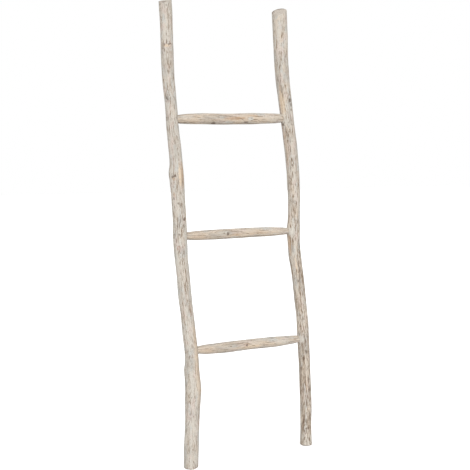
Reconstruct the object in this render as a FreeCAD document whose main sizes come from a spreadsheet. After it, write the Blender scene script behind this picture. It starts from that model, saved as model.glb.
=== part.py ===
import FreeCAD, Part
import math
import os

import Sketcher

# Leaning ladder rack of five debarked branches, in millimetres.
# +X runs across the ladder, +Z is up and +Y points at the wall that the tops lean on.
# The feet stand on Z = 0, and the origin is under the middle of the ladder's box.
# Each rung ends in a round tenon that sits in a blind mortise in its rail. A wood screw
# from the rail's outer side runs into the tenon's end grain, under a glued plug.

SHEET_NAME = "Dimensions"

# Driving dimensions, each a cell of the sheet.
DIMENSIONS = {
    "lean_angle": 6.5,
    "half_spacing": 218,
    "origin_shift_side": 4.5,
    "origin_shift_depth": 87.1,
    "left_top_slant": 18,
    "right_top_slant": 29,
    "slant_bearing": 49,
    "saw_reach": 60,
    "mortise_diameter": 20.2,
    "mortise_past_centre": 6,
    "seat_depth": 3,
    "seat_clearance": 0.9,
    "mouth_overrun": 15,
    "tenon_diameter": 20,
    "tenon_end_gap": 0.5,
    "shoulder_gap": 0.2,
    "plug_diameter": 10,
    "plug_length": 5,
    "plug_sink": 0.7,
    "plug_hole_diameter": 10.1,
    "screw_head_diameter": 8.6,
    "screw_head_height": 3,
    "screw_neck_diameter": 4.6,
    "screw_diameter": 4.4,
    "screw_core_diameter": 3.2,
    "screw_length": 38,
    "screw_smooth_length": 12,
    "screw_tip_length": 5,
    "screw_thread_pitch": 2,
    "thread_rings": 9,
    "thread_bite": 0.2,
    "screw_hole_diameter": 4.8,
    "screw_hole_spare": 2,
    "screw_head_gap": 0.2,
    "recess_width": 1.2,
    "recess_span": 4.6,
    "recess_depth": 1.4,
    "cut_overrun": 2,
}

# Sections of each rail from foot to top: height, then how far the branch's centre stands
# to the right and towards the wall of its straight line, then its diameter there. The saw
# cut on top passes through the last section but one, and takes the last one away.
RAILS = {
    "rail_left": (
        (0, -6, 0, 41),
        (3, -6, 0, 46),
        (60, -2, -1, 47),
        (120, 4, -2, 46),
        (190, 10, -2, 48),
        (250, 15, -3, 51),
        (300, 15, -2, 49),
        (345, 17, -2, 43),
        (367, 17, -1, 43),
        (420, 14, 0, 43),
        (480, 10, 0, 42),
        (540, 7, 1, 43),
        (600, 5, 2, 42),
        (670, 2, 3, 43),
        (734, 2, 3, 45),
        (790, 3, 3, 45),
        (860, 3, 2, 45),
        (925, 1, 1, 48),
        (960, 2, 0, 41),
        (1000, 0, -1, 40),
        (1050, -3, -1, 40),
        (1108, -6, -2, 39),
        (1180, -8, -2, 38),
        (1250, -11, -2, 40),
        (1320, -9, -1, 41),
        (1400, -6, 0, 40),
        (1488, -4.5, 1, 44),
        (1520, -4.5, 1, 44),
    ),
    "rail_right": (
        (0, 3, 0, 36),
        (3, 3, 0, 41),
        (60, 7, 1, 38),
        (120, 12, 1, 39),
        (200, 16, 3, 40),
        (280, 18, 3, 40),
        (361, 19, 4, 42),
        (430, 19, 2, 40),
        (500, 14, 2, 41),
        (560, 10, 0, 41),
        (600, 6, -1, 40),
        (645, 0, -2, 44),
        (690, -2, -2, 42),
        (734, 0, -1, 45),
        (790, 7, -1, 41),
        (850, 12, 0, 43),
        (930, 15, 2, 43),
        (1030, 11, 2, 46),
        (1121, 3, 1, 46),
        (1160, 0, 1, 46),
        (1200, -4, 0, 47),
        (1250, -8, 0, 48),
        (1290, -9, -1, 48),
        (1340, -9, -1, 49),
        (1400, -7, -1, 51),
        (1490, -5, 0, 52.5),
        (1530, -5, 0, 52.5),
    ),
}

# Sections of each rung between its shoulders: how far along as a share of the rung, then
# how far its centre stands below or above and behind the straight line, then its diameter.
RUNGS = {
    "top": (
        (0.00, 0, 0, 26),
        (0.07, 1, 0, 33),
        (0.25, 1, -1, 36),
        (0.45, -1, -2, 35),
        (0.70, 0, -1, 37),
        (0.93, 0, 0, 34),
        (1.00, 0, 0, 30),
    ),
    "middle": (
        (0.00, 0, 0, 24),
        (0.08, 0, 0, 30),
        (0.30, 0, 1, 33),
        (0.55, 1, 2, 33),
        (0.80, 1, 1, 31),
        (0.94, 0, 0, 26),
        (1.00, 0, 0, 22),
    ),
    "bottom": (
        (0.00, 0, 0, 24),
        (0.08, 0, 0, 32),
        (0.30, -1, 1, 35),
        (0.50, 0, 2, 34),
        (0.75, -1, 1, 34),
        (0.93, 0, 0, 29),
        (1.00, 0, 0, 24),
    ),
}

# The rail section that each rung's end meets, counted from the foot.
JOINTS = {
    "top": {"left": 21, "right": 18},
    "middle": {"left": 14, "right": 13},
    "bottom": {"left": 8, "right": 6},
}

SIDES = {"left": -1, "right": 1}
SMALLEST_CUT = 1
RAIL_COLUMNS = ("height", "side", "depth", "diameter")
RUNG_COLUMNS = ("share", "rise", "back", "diameter")

doc = FreeCAD.newDocument("branch_ladder")
sheet = doc.addObject("Spreadsheet::Sheet", SHEET_NAME)
sheet_row = 0


def add_cell(alias, value):
    """Put one plain number in the sheet's next row, under a name."""
    global sheet_row
    sheet_row += 1
    sheet.set(f"A{sheet_row}", alias)
    sheet.set(f"B{sheet_row}", str(value))
    sheet.setAlias(f"B{sheet_row}", alias)


def cell(alias):
    """Name a cell inside an expression."""
    return f"{SHEET_NAME}.{alias}"


def size(alias):
    """Read a cell's number."""
    return float(sheet.get(alias))


def fill_sheet():
    """Write every driving number, with the sections of the rails and rungs after them."""
    for alias, value in DIMENSIONS.items():
        add_cell(alias, value)
    for rail, sections in RAILS.items():
        for number, section in enumerate(sections):
            for column, value in zip(RAIL_COLUMNS, section):
                add_cell(f"{rail}_{column}_{number}", value)
    for rung, sections in RUNGS.items():
        for number, section in enumerate(sections):
            for column, value in zip(RUNG_COLUMNS, section):
                add_cell(f"rung_{rung}_{column}_{number}", value)
    doc.recompute()


def rail_centre(side, number):
    """Give the expressions for the X, Y and Z of a rail's centre at one section."""
    rail = f"rail_{side}"
    height = cell(f"{rail}_height_{number}")
    line = f"{SIDES[side]} * {cell('half_spacing')} - {cell('origin_shift_side')}"
    lean = f"{height} * tan({cell('lean_angle')} * 1deg) - {cell('origin_shift_depth')}"
    return (
        f"{line} + {cell(f'{rail}_side_{number}')}",
        f"{lean} + {cell(f'{rail}_depth_{number}')}",
        height,
    )


def rail_radius(side, number):
    """Give the expression for a rail's radius at one section."""
    return f"{cell(f'rail_{side}_diameter_{number}')} / 2"


def new_body(label):
    """Start a sub-part: a body with its own label."""
    body = doc.addObject("PartDesign::Body", label)
    body.Label = label
    return body


def new_sketch(body, plane, name):
    """Make an empty sketch on one of the body's own origin planes."""
    sketch = body.newObject("Sketcher::SketchObject", name)
    planes = [item for item in body.Origin.OriginFeatures if item.Role == plane]
    sketch.AttachmentSupport = [(planes[0], "")]
    sketch.MapMode = "FlatFace"
    return sketch


def move_sketch(sketch, expressions):
    """Bind the sketch's place, in its plane's own axes, to three expressions."""
    for axis, expression in zip("xyz", expressions):
        sketch.setExpression(f"AttachmentOffset.Base.{axis}", expression)


def add_circle(sketch, diameter):
    """Draw a circle round the sketch's origin, with its diameter bound to an expression."""
    start_radius = 10
    circle = Part.Circle(FreeCAD.Vector(), FreeCAD.Vector(0, 0, 1), start_radius)
    sketch.addGeometry(circle)
    sketch.addConstraint(Sketcher.Constraint("Coincident", 0, 3, -1, 1))
    bind_constraint(sketch, Sketcher.Constraint("Diameter", 0, 2 * start_radius), diameter)


def bind_constraint(sketch, constraint, expression):
    """Add a measured constraint and bind its value."""
    number = sketch.addConstraint(constraint)
    sketch.setExpression(f"Constraints[{number}]", expression)


def add_profile(sketch, points):
    """Draw a closed outline whose corners are pairs of expressions, along and out."""
    corners = []
    for number in range(len(points)):
        turn = 2 * math.pi * number / len(points)
        corners.append(FreeCAD.Vector(10 * math.cos(turn), 10 * math.sin(turn), 0))
    for start, end in zip(corners, corners[1:] + corners[:1]):
        sketch.addGeometry(Part.LineSegment(start, end))
    for number in range(len(points)):
        following = (number + 1) % len(points)
        sketch.addConstraint(Sketcher.Constraint("Coincident", number, 2, following, 1))
    for number, (along, out) in enumerate(points):
        corner = corners[number]
        across = Sketcher.Constraint("DistanceX", -1, 1, number, 1, corner.x)
        upward = Sketcher.Constraint("DistanceY", -1, 1, number, 1, corner.y)
        bind_constraint(sketch, across, along)
        bind_constraint(sketch, upward, out)


def add_loft(body, name, sketches):
    """Join a row of sections, each to the next with straight sides."""
    loft = body.newObject("PartDesign::AdditiveLoft", name)
    loft.Profile = sketches[0]
    loft.Sections = sketches[1:]
    loft.Ruled = True
    doc.recompute()


def build_rail(side):
    """Build one upright: a lofted branch with a sawn top, mortises and screw holes."""
    label = f"rail_{side}"
    body = new_body(label)
    sketches = []
    for number in range(len(RAILS[label])):
        sketch = new_sketch(body, "XY_Plane", f"{label}_section_{number}")
        move_sketch(sketch, rail_centre(side, number))
        add_circle(sketch, cell(f"{label}_diameter_{number}"))
        sketches.append(sketch)
    add_loft(body, f"{label}_branch", sketches)
    saw_top(body, side)
    for rung, ends in JOINTS.items():
        cut_mortise(body, side, rung, ends[side])
        cut_screw_hole(body, side, rung, ends[side])
    return body


def saw_top(body, side):
    """Saw the top off on a slant, with the front left edge of the cut the low one."""
    angle = f"{side}_top_slant"
    bearing = math.radians(size("slant_bearing"))
    hinge = FreeCAD.Vector(math.cos(bearing), -math.sin(bearing), 0)
    sketch = new_sketch(body, "XY_Plane", f"{body.Label}_saw_plane")
    slant = FreeCAD.Rotation(hinge, size(angle))
    sketch.AttachmentOffset = FreeCAD.Placement(FreeCAD.Vector(), slant)
    sketch.setExpression("AttachmentOffset.Rotation.Angle", f"{cell(angle)} * 1deg")
    move_sketch(sketch, rail_centre(side, len(RAILS[body.Label]) - 2))
    add_circle(sketch, f"2 * {cell('saw_reach')}")
    cut = body.newObject("PartDesign::Pocket", f"{body.Label}_saw_cut")
    cut.Profile = sketch
    cut.Reversed = True
    cut.setExpression("Length", cell("saw_reach"))
    check_cut(cut)


def cut_mortise(body, side, rung, number):
    """Bore the blind mortise for a rung's tenon, with a shallow seat for its shoulder."""
    floor = cell("mortise_past_centre")
    seat = f"{cell('seat_depth')} - {rail_radius(side, number)}"
    mouth = f"-{rail_radius(side, number)} - {cell('mouth_overrun')}"
    mortise = f"{cell('mortise_diameter')} / 2"
    shoulder = f"{cell(shoulder_cell(side, rung))} / 2 + {cell('seat_clearance')}"
    stations = ((floor, mortise), (seat, mortise), (seat, shoulder), (mouth, shoulder))
    turn_cut(body, side, number, f"mortise_{rung}", stations)


def shoulder_cell(side, rung):
    """Name the cell that holds the diameter of a rung's end section."""
    number = 0 if side == "left" else len(RUNGS[rung]) - 1
    return f"rung_{rung}_diameter_{number}"


def cut_screw_hole(body, side, rung, number):
    """Cut the plug hole, the head's countersink and the shank's hole."""
    head = head_top(side, number)
    start = f"{cell('mortise_past_centre')} - {cell('cut_overrun')}"
    cone_foot = f"{head} - {cell('screw_head_height')}"
    cone_mouth = f"{head} + {cell('screw_head_gap')}"
    outside = f"{rail_radius(side, number)} + {cell('cut_overrun')}"
    shank = f"{cell('screw_hole_diameter')} / 2"
    plug = f"{cell('plug_hole_diameter')} / 2"
    stations = ((start, shank), (cone_foot, shank), (cone_mouth, plug), (outside, plug))
    turn_cut(body, side, number, f"screw_hole_{rung}", stations)


def turn_cut(body, side, number, name, stations):
    """Cut round the joint's axis: each station is how far out it is, then its radius."""
    centre_x, centre_y, centre_z = rail_centre(side, number)
    sketch = new_sketch(body, "XZ_Plane", f"{body.Label}_{name}_profile")
    move_sketch(sketch, (centre_x, centre_z, f"-({centre_y})"))
    points = [(stations[-1][0], "0"), (stations[0][0], "0"), *stations]
    add_profile(sketch, [(f"{SIDES[side]} * ({out})", radius) for out, radius in points])
    groove = body.newObject("PartDesign::Groove", f"{body.Label}_{name}")
    groove.Profile = sketch
    groove.ReferenceAxis = (sketch, ["H_Axis"])
    groove.Angle = 360
    check_cut(groove)


def check_cut(feature):
    """Recompute, and make sure that a cut took something away."""
    doc.recompute()
    if feature.Shape.Volume > feature.BaseFeature.Shape.Volume - SMALLEST_CUT:
        raise RuntimeError(f"{feature.Label} cuts nothing away")


def plug_foot(side, number):
    """Say how far out from the rail's centre the plug's inner end is."""
    return f"({rail_radius(side, number)} - {cell('plug_sink')} - {cell('plug_length')})"


def head_top(side, number):
    """Say how far out from the rail's centre the top of the screw's head is."""
    return f"({plug_foot(side, number)} - {cell('screw_head_gap')})"


def build_rung(rung):
    """Build one rung: a lofted branch with a round tenon and a screw hole at each end."""
    label = f"rung_{rung}"
    body = new_body(label)
    left = rail_centre("left", JOINTS[rung]["left"])
    right = rail_centre("right", JOINTS[rung]["right"])
    reach = {side: shoulder_reach(side, JOINTS[rung][side]) for side in SIDES}
    start = (f"{left[0]} + {reach['left']}", left[1], left[2])
    finish = (f"{right[0]} - {reach['right']}", right[1], right[2])
    sketches = []
    for number in range(len(RUNGS[rung])):
        share = cell(f"{label}_share_{number}")
        ends = zip(start, finish)
        along, back, rise = [f"({a}) + (({b}) - ({a})) * {share}" for a, b in ends]
        back = f"{back} + {cell(f'{label}_back_{number}')}"
        rise = f"{rise} + {cell(f'{label}_rise_{number}')}"
        sketch = new_sketch(body, "YZ_Plane", f"{label}_section_{number}")
        move_sketch(sketch, (back, rise, along))
        add_circle(sketch, cell(f"{label}_diameter_{number}"))
        sketches.append(sketch)
    add_loft(body, f"{label}_branch", sketches)
    for side, shoulder in (("left", start), ("right", finish)):
        add_tenon(body, side, shoulder, reach[side])
        drill_tenon(body, side, rung, JOINTS[rung][side])
    return body


def shoulder_reach(side, number):
    """Say how far a rung's shoulder stands from the rail's centre."""
    return f"({rail_radius(side, number)} - {cell('seat_depth')} + {cell('shoulder_gap')})"


def add_tenon(body, side, shoulder, reach):
    """Add the round tenon, from the shoulder almost to the mortise's bottom."""
    sketch = new_sketch(body, "YZ_Plane", f"{body.Label}_tenon_{side}_circle")
    move_sketch(sketch, (shoulder[1], shoulder[2], shoulder[0]))
    add_circle(sketch, cell("tenon_diameter"))
    pad = body.newObject("PartDesign::Pad", f"{body.Label}_tenon_{side}")
    pad.Profile = sketch
    pad.Reversed = side == "left"
    length = f"{reach} + {cell('mortise_past_centre')} - {cell('tenon_end_gap')}"
    pad.setExpression("Length", length)
    doc.recompute()


def drill_tenon(body, side, rung, number):
    """Drill the tenon's end grain for the screw, a little deeper than the screw goes."""
    centre_x, centre_y, centre_z = rail_centre(side, number)
    tenon_end = f"({cell('mortise_past_centre')} - {cell('tenon_end_gap')})"
    sketch = new_sketch(body, "YZ_Plane", f"{body.Label}_screw_hole_{side}_circle")
    move_sketch(sketch, (centre_y, centre_z, f"{centre_x} + {SIDES[side]} * {tenon_end}"))
    add_circle(sketch, cell("screw_hole_diameter"))
    pocket = body.newObject("PartDesign::Pocket", f"{body.Label}_screw_hole_{side}")
    pocket.Profile = sketch
    pocket.Reversed = side == "left"
    tip = f"({head_top(side, number)} - {cell('screw_length')})"
    pocket.setExpression("Length", f"{tenon_end} - {tip} + {cell('screw_hole_spare')}")
    check_cut(pocket)


def place_fastener(body, side, number, offset):
    """Set a fastener on the joint's axis with its own +X pointing out of the rail."""
    centre_x, centre_y, centre_z = rail_centre(side, number)
    if side == "left":
        turned = FreeCAD.Rotation(FreeCAD.Vector(0, 0, 1), 180)
        body.Placement = FreeCAD.Placement(FreeCAD.Vector(), turned)
    body.setExpression("Placement.Base.x", f"{centre_x} + {SIDES[side]} * {offset}")
    body.setExpression("Placement.Base.y", centre_y)
    body.setExpression("Placement.Base.z", centre_z)


def build_screw(side, rung):
    """Build one countersunk wood screw, its head's top at its own X = 0."""
    label = f"joint_screw_{rung}_{side}"
    body = new_body(label)
    profile = new_sketch(body, "XZ_Plane", f"{label}_profile")
    core = f"{cell('screw_core_diameter')} / 2"
    tip_start = f"{cell('screw_tip_length')} - {cell('screw_length')}"
    smooth_end = f"-{cell('screw_smooth_length')}"
    add_profile(profile, (
        ("0", "0"),
        ("0", f"{cell('screw_head_diameter')} / 2"),
        (f"-{cell('screw_head_height')}", f"{cell('screw_neck_diameter')} / 2"),
        (smooth_end, f"{cell('screw_neck_diameter')} / 2"),
        (smooth_end, core),
        (tip_start, core),
        (f"-{cell('screw_length')}", "0"),
    ))
    turned = body.newObject("PartDesign::Revolution", f"{label}_shank")
    turned.Profile = profile
    turned.ReferenceAxis = (profile, ["H_Axis"])
    turned.Angle = 360
    doc.recompute()
    cut_recess(body)
    add_thread(body)
    place_fastener(body, side, JOINTS[rung][side], head_top(side, JOINTS[rung][side]))
    return body


def cut_recess(body):
    """Cut the cross recess in the screw's head."""
    sketch = new_sketch(body, "YZ_Plane", f"{body.Label}_recess_cross")
    near = f"{cell('recess_width')} / 2"
    far = f"{cell('recess_span')} / 2"
    quarter = ((near, far), (near, near), (far, near))
    corners = list(quarter)
    corners += [(a, f"-{b}") for a, b in reversed(quarter)]
    corners += [(f"-{a}", f"-{b}") for a, b in quarter]
    corners += [(f"-{a}", b) for a, b in reversed(quarter)]
    add_profile(sketch, corners)
    pocket = body.newObject("PartDesign::Pocket", f"{body.Label}_recess")
    pocket.Profile = sketch
    pocket.setExpression("Length", cell("recess_depth"))
    check_cut(pocket)


def add_thread(body):
    """Add the thread as a row of rings, one pitch apart."""
    ring_sketch = new_sketch(body, "XZ_Plane", f"{body.Label}_thread_profile")
    inner = f"{cell('screw_core_diameter')} / 2 - {cell('thread_bite')}"
    outer = f"{cell('screw_diameter')} / 2"
    first = f"-{cell('screw_smooth_length')} - {cell('screw_thread_pitch')}"
    half_ring = f"{cell('screw_thread_pitch')} * 0.3"
    add_profile(ring_sketch, (
        (f"{first} - {half_ring}", inner),
        (f"{first} + {half_ring}", inner),
        (first, outer),
    ))
    ring = body.newObject("PartDesign::Revolution", f"{body.Label}_thread_ring")
    ring.Profile = ring_sketch
    ring.ReferenceAxis = (ring_sketch, ["H_Axis"])
    ring.Angle = 360
    doc.recompute()
    rings = body.newObject("PartDesign::LinearPattern", f"{body.Label}_thread")
    rings.Originals = [ring]
    rings.Direction = (ring_sketch, ["H_Axis"])
    rings.Reversed = True
    rings.Occurrences = int(size("thread_rings"))
    rings.setExpression("Length", f"({cell('thread_rings')} - 1) * {cell('screw_thread_pitch')}")
    body.Tip = rings
    doc.recompute()


def build_plug(side, rung):
    """Build one round plug, its inner end at its own X = 0."""
    label = f"screw_plug_{rung}_{side}"
    body = new_body(label)
    sketch = new_sketch(body, "YZ_Plane", f"{label}_circle")
    add_circle(sketch, cell("plug_diameter"))
    pad = body.newObject("PartDesign::Pad", f"{label}_pad")
    pad.Profile = sketch
    pad.setExpression("Length", cell("plug_length"))
    doc.recompute()
    place_fastener(body, side, JOINTS[rung][side], plug_foot(side, JOINTS[rung][side]))
    return body


def check_document(bodies):
    """Refuse a failed feature, and a sub-part that is not one valid solid."""
    for item in doc.Objects:
        if "Invalid" in item.State or "Error" in item.State:
            raise RuntimeError(f"{item.Label} failed: {item.State}")
    for body in bodies:
        if body.Shape.isNull() or not body.Shape.isValid() or len(body.Shape.Solids) != 1:
            raise RuntimeError(f"{body.Label} is not one valid solid")


def report_sizes(bodies):
    """Print each sub-part's volume, and the box of the whole ladder."""
    whole = FreeCAD.BoundBox()
    for body in bodies:
        box = body.Shape.optimalBoundingBox()
        whole.add(box)
        print(f"{body.Label}: {body.Shape.Volume / 1000:.1f} cm3")
    print(f"X {whole.XMin:.2f} to {whole.XMax:.2f}")
    print(f"Y {whole.YMin:.2f} to {whole.YMax:.2f}")
    print(f"Z {whole.ZMin:.2f} to {whole.ZMax:.2f}")


fill_sheet()
parts = [build_rail(side) for side in SIDES]
parts += [build_rung(rung) for rung in RUNGS]
parts += [build_screw(side, rung) for rung in JOINTS for side in SIDES]
parts += [build_plug(side, rung) for rung in JOINTS for side in SIDES]
doc.recompute()
check_document(parts)
report_sizes(parts)
os.makedirs("parts", exist_ok=True)
for part in parts:
    part.Shape.exportStep(f"parts/{part.Label}.step")
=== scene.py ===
"""Looks of a leaning ladder rack: five whitewashed branches, painted plugs, hidden screws.

Everything is in metres, in the frame of the CAD model: +X across the ladder, +Y towards
the wall, +Z up. A branch is described by how far along it a point lies (height on a rail,
X on a rung) and by its bearing round the branch in degrees. On a rail the bearing is 0 at
the front and 90 at the right. On a rung it is 0 at the front and 90 on top.
"""

import math

import bpy
import numpy as np
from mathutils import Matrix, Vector
from mathutils.bvhtree import BVHTree


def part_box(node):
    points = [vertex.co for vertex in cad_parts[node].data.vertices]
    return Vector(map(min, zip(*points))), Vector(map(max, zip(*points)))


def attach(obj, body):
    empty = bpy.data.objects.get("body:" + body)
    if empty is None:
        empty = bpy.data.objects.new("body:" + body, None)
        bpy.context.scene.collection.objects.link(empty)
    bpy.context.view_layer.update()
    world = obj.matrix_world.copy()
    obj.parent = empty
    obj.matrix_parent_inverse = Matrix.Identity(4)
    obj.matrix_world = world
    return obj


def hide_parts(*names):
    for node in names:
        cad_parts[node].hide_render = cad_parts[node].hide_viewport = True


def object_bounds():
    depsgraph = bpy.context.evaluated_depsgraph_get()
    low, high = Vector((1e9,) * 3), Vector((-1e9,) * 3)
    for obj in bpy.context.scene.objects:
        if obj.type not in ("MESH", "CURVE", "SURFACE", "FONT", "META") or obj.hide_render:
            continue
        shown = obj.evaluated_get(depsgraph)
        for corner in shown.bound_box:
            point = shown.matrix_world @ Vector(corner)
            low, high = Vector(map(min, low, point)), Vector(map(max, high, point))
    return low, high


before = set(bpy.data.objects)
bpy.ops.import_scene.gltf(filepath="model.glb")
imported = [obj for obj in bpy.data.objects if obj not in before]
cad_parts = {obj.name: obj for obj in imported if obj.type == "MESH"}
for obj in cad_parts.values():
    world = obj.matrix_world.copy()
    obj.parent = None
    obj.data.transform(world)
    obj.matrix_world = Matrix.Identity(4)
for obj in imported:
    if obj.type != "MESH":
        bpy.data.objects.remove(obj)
cad_low, cad_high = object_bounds()

MM = 0.001

# Camera: how far round to the left of the ladder's front it stands, its tilt, its distance
# from the point it looks at, and that point's place beside the middle of the ladder.
CAMERA_BEARING = math.radians(30)
CAMERA_TILT = math.radians(5.1)
CAMERA_DISTANCE = 2.8
CAMERA_FOCUS = (-0.037, -0.036, -0.020)
SENSOR_WIDTH = 36
FOCAL_LENGTH = 65.34

# Light: a white sky all round and a wide soft lamp, which also stands round to the left. The
# floor looks whiter to the camera than it shines on the ladder, like glass over a lit sheet.
SKY_STRENGTH = 0.8
LAMP_STRENGTH = 1.88
LAMP_BEARING = math.radians(24)
LAMP_HEIGHT = math.radians(25)
LAMP_WIDTH = math.radians(50)
FLOOR_GLOW = 0.35
FLOOR_BOUNCE = 0.7
FLOOR_SEEN = 0.93
FLOOR_SIZE = 40

# Mesh density: the spacing of the rings along a branch, the sides of each ring, and the
# rings of a sawn end, the smallest of them as a share of one step.
RING_SPACING = 1.55 * MM
SIDES = 96
CAP_RINGS = 10
INNER_RING = 0.35
BEVEL_STEPS = 4
MEASURE_RAYS = 24
MEASURE_SPACING = 3 * MM
TOP_SLANT_REACH = 60 * MM

# How far from a sawn edge its dark line reaches, and stains on the sawn face.
RIM_WIDTH = 2.6 * MM
STAIN_WIDTH = 6 * MM

# Bake layout, as shares of its square: the width of all strips of skin, the margin, the gap
# between strips and what is trimmed off each, then the two ends' middles and their reach.
BAKE_SKIN = 0.88
BAKE_MARGIN = 0.01
BAKE_GAP = 0.004
BAKE_TRIM = 0.006
BAKE_ENDS = ((0.95, 0.25), (0.95, 0.75))
BAKE_REACH = 0.042

# A plug stands in a shallow dish turned in the rail, ringed by a dark seam and painted shade.
PLUG_RADIUS = 4.9 * MM
PLUG_DISH = 1.1 * MM
PLUG_SINK = 0.35 * MM
PLUG_DOME = 0.25 * MM
DISH_EDGE = 7.2 * MM
DISH_FLAT = 5.0 * MM
PLUG_SEAM_SHADE = 5.3 * MM
PLUG_SEAM_SHADE_WIDTH = 1.3 * MM
PLUG_MASKS = {"dark": 0.12, "tan": 0.1, "white": 0.2, "warm": 0.3}

# Radius at which noise is read round a branch, so that its pattern has one size everywhere.
NOISE_RADIUS = 21 * MM

MASKS = ("dark", "tan", "peach", "white", "rust")

# Marks left by the branch's own growth: kind, place along the branch in mm, bearing in
# degrees, half length and half width in mm, lift in mm and strength. A kind names a mask and
# says whether the mark is a ring. A bump has no mask and no strength.
RAIL_LEFT_MARKS = [
    ("dark", 1474, -84, 5, 4, -0.5, 0.75),
    ("dark", 1470, -18, 4, 3, -0.4, 0.5),
    ("dark", 1481, -38, 2, 9, -0.2, 0.9),
    ("bump", 1350, -33, 13, 14, 1.0),
    ("dark", 1354, -27, 7, 1.8, -0.6, 0.95),
    ("dark", 1345, -50, 4, 3.4, -0.5, 0.8),
    ("dark", 1346, -9, 2.4, 5, -0.4, 0.75),
    ("peach", 1341, -30, 4, 11, 0.2, 0.8),
    ("dark", 1332, -54, 11, 1.8, -0.5, 0.7),
    ("dark", 1318, -20, 3, 3, -0.4, 0.35),
    ("dark ring", 1174, -65, 9, 8, 0.6, 0.3),
    ("dark", 1179, -72, 10, 3, -0.5, 0.75),
    ("dark", 1172, -58, 6, 4, -0.7, 0.8),
    ("rust", 1164, -48, 5, 9, -0.2, 0.25),
    ("bump", 938, -110, 17, 12, 2.6),
    ("peach", 928, 3, 36, 6, 0.5, 0.95),
    ("tan", 930, 31, 48, 6, -0.3, 0.9),
    ("dark", 905, 26, 9, 1.8, -0.6, 0.7),
    ("dark", 915, -14, 26, 1.3, -0.6, 0.45),
    ("dark", 924, -61, 4.5, 4.5, -0.6, 0.9),
    ("dark", 928, -40, 5, 4, -0.8, 1.0),
    ("tan", 918, -50, 5, 10, 0.1, 0.6),
    ("dark", 903, -78, 4, 2.5, -0.6, 0.5),
    ("tan", 868, -60, 8, 5, 0.5, 0.6),
    ("dark", 855, -66, 4, 3.5, -0.8, 0.8),
    ("dark", 840, -24, 3, 5, -0.6, 0.6),
    ("dark", 834, -12, 8, 2, -0.6, 0.6),
    ("dark", 789, 21, 5.5, 5, -2.2, 1.0),
    ("dark", 790, -38, 9, 1.7, -0.8, 0.8),
    ("dark", 786, -19, 9, 1.7, -0.8, 0.8),
    ("dark", 768, -44, 22, 1.5, -0.8, 0.6),
    ("dark", 772, -27, 14, 1.4, -0.8, 0.65),
    ("dark", 741, -34, 4, 3.5, -0.6, 0.8),
    ("dark", 740, -79, 4, 3, -0.5, 0.6),
    ("dark", 722, -60, 9, 2.4, -0.5, 0.8),
    ("bump", 693, -33, 12, 11, 1.0),
    ("rust", 693, -26, 10, 8, 0, 0.28),
    ("rust", 696, -52, 6, 2.4, -0.5, 0.65),
    ("rust", 703, -38, 2.5, 6, -0.5, 0.6),
    ("dark", 687, -44, 2.2, 2.2, -0.5, 0.6),
    ("dark", 682, -30, 2.2, 2.2, -0.5, 0.55),
    ("tan", 330, 40, 170, 10, 0, 0.35),
    ("peach", 330, 22, 130, 9, 0, 0.5),
    ("bump", 308, -110, 14, 10, 2.2),
    ("bump", 243, 50, 38, 18, 1.4),
    ("dark", 352, -30, 1.5, 16, -0.4, 0.35),
    ("dark", 225, -53, 2.6, 2.2, -0.5, 0.8),
    ("dark", 225, -36, 2.6, 2.2, -0.5, 0.8),
    ("dark", 173, -42, 5, 4, -0.4, 0.45),
    ("bump", 0, 30, 10, 13, -3.6),
]
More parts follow.
